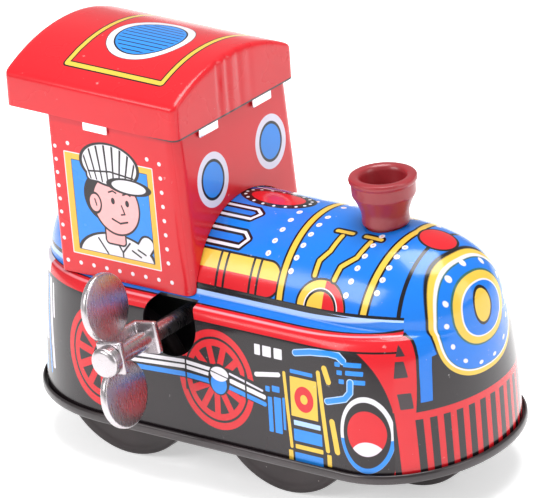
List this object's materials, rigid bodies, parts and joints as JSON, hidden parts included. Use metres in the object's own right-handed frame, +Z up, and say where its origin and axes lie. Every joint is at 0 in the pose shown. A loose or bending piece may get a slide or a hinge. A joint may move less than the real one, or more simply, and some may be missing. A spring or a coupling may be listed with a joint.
{
  "type": "clockwork toy train locomotive",
  "caption": "Lithographed tin clockwork toy locomotive with arched cab roof, round boiler, plastic chimney, side winding key and geared spring motor.",
  "frame": {"origin": "on the ground under the middle of the whole model, key included", "axes": "+X towards the nose, +Y to the engine's left, +Z up; the key is on the -Y side"},
  "size_m": [0.094, 0.0597, 0.0737],
  "materials": {
    "red_tin": "glossy lithographed tin",
    "blue_tin": "glossy lithographed tin",
    "black_tin": "black enamelled tin",
    "wheel_black": "black enamel",
    "chimney_plastic": "moulded, glossy",
    "nickel": "nickel plated",
    "steel": "plain steel",
    "spring_steel": "blued spring steel",
    "brass": "stamped brass"
  },
  "bodies": {
    "frame": {"body_shell": "blue_tin", "base_plate": "black_tin", "cab_shell": "red_tin", "cab_roof": "red_tin", "chimney": "chimney_plastic", "chimney_washer": "steel", "motor_plate_right": "steel", "motor_plate_left": "steel", "pillar_front": "steel", "pillar_top": "steel", "pillar_rear": "steel", "mainspring": "spring_steel", "middle_bracket": "steel", "pilot_bracket_right": "steel", "pilot_bracket_left": "steel"},
    "winding_shaft": {"winding_arbor": "steel", "ratchet_wheel": "steel", "key": "nickel"},
    "great": {"great_wheel": "brass", "click": "steel", "click_rivet": "brass"},
    "second": {"second_arbor": "steel", "second_pinion": "steel", "second_wheel": "brass"},
    "rear_axle": {"drive_axle": "steel", "axle_pinion": "steel", "rear_wheel_right": "wheel_black", "rear_wheel_left": "wheel_black"},
    "middle_axle_set": {"middle_axle": "steel", "middle_wheel_right": "wheel_black", "middle_wheel_left": "wheel_black"},
    "pilot_axle_set": {"pilot_axle": "steel", "pilot_wheel_right": "wheel_black", "pilot_wheel_left": "wheel_black"},
    "escape": {"escape_arbor": "steel", "escape_pinion": "steel", "escape_wheel": "brass"},
    "pallet": {"pallet_arbor": "steel", "pallet_lever": "steel"}
  },
  "joints": [
    {"name": "key_winding", "type": "hinge", "parent": "frame", "child": "winding_shaft", "pos_m": [-0.0072, 0.0077, 0.029], "axis": [0, 1, 0], "continuous": true},
    {"name": "rear_axle_roll", "type": "hinge", "parent": "frame", "child": "rear_axle", "pos_m": [-0.0219, 0.0077, 0.0147], "axis": [0, 1, 0], "continuous": true},
    {"name": "second_turn", "type": "hinge", "parent": "frame", "child": "second", "pos_m": [-0.01993, 0.0077, 0.0245], "axis": [0, 1, 0], "continuous": true},
    {"name": "great_turn", "type": "hinge", "parent": "frame", "child": "great", "pos_m": [-0.0072, 0.0077, 0.029], "axis": [0, 1, 0], "continuous": true},
    {"name": "escape_turn", "type": "hinge", "parent": "frame", "child": "escape", "pos_m": [-0.02699, 0.0077, 0.03086], "axis": [0, 1, 0], "continuous": true},
    {"name": "pallet_rock", "type": "hinge", "parent": "frame", "child": "pallet", "pos_m": [-0.03284, 0.0077, 0.03346], "axis": [0, 1, 0], "range_deg": [-3, 3]},
    {"name": "middle_axle_roll", "type": "hinge", "parent": "frame", "child": "middle_axle_set", "pos_m": [0.0125, 0.0077, 0.0147], "axis": [0, 1, 0], "continuous": true},
    {"name": "pilot_axle_roll", "type": "hinge", "parent": "frame", "child": "pilot_axle_set", "pos_m": [0.0295, 0.0077, 0.0147], "axis": [0, 1, 0], "continuous": true}
  ],
  "couplings": [
    {"joint": "second_turn", "follows": "rear_axle_roll", "ratio": -0.33333},
    {"joint": "great_turn", "follows": "rear_axle_roll", "ratio": 0.075758},
    {"joint": "escape_turn", "follows": "rear_axle_roll", "ratio": 1.25}
  ]
}
